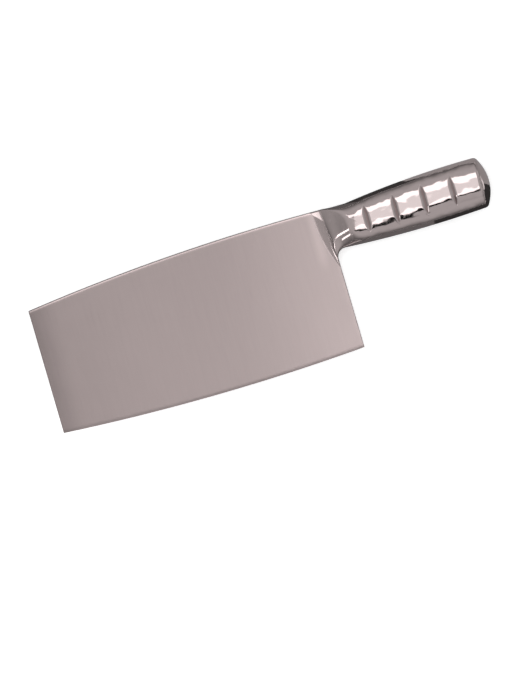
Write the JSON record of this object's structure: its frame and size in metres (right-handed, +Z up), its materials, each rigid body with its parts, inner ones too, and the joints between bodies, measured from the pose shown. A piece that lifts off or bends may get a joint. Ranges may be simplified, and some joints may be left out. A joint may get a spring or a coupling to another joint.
{
  "type": "chinese cleaver",
  "caption": "All-steel Chinese cleaver with a broad, nearly rectangular blade and a hollow oval handle that is grooved across its sides and closed by a domed cap.",
  "frame": {"origin": "centre of the box round the knife, at the height of the ground that it lies on", "axes": "+X from the tip end to the butt, +Y from the cutting edge to the spine, +Z up out of the front side; the knife lies on its back side as on a table, pitched 2.7 degrees so that the tip end and the handle touch, and rolled 0.6 degrees so that the tip end lies flat"},
  "size_m": [0.3128, 0.1032, 0.0269],
  "materials": {
    "blade_steel": "satin, finely ground from spine to edge",
    "handle_steel": "polished",
    "weld_steel": "ground flush and polished"
  },
  "bodies": {
    "root": {"blade": "blade_steel", "neck_weld_front": "weld_steel", "neck_weld_back": "weld_steel", "handle_shell_front": "handle_steel", "handle_shell_back": "handle_steel", "seam_weld_top": "weld_steel", "seam_weld_bottom": "weld_steel", "end_cap": "handle_steel", "cap_weld": "weld_steel"}
  },
  "joints": []
}
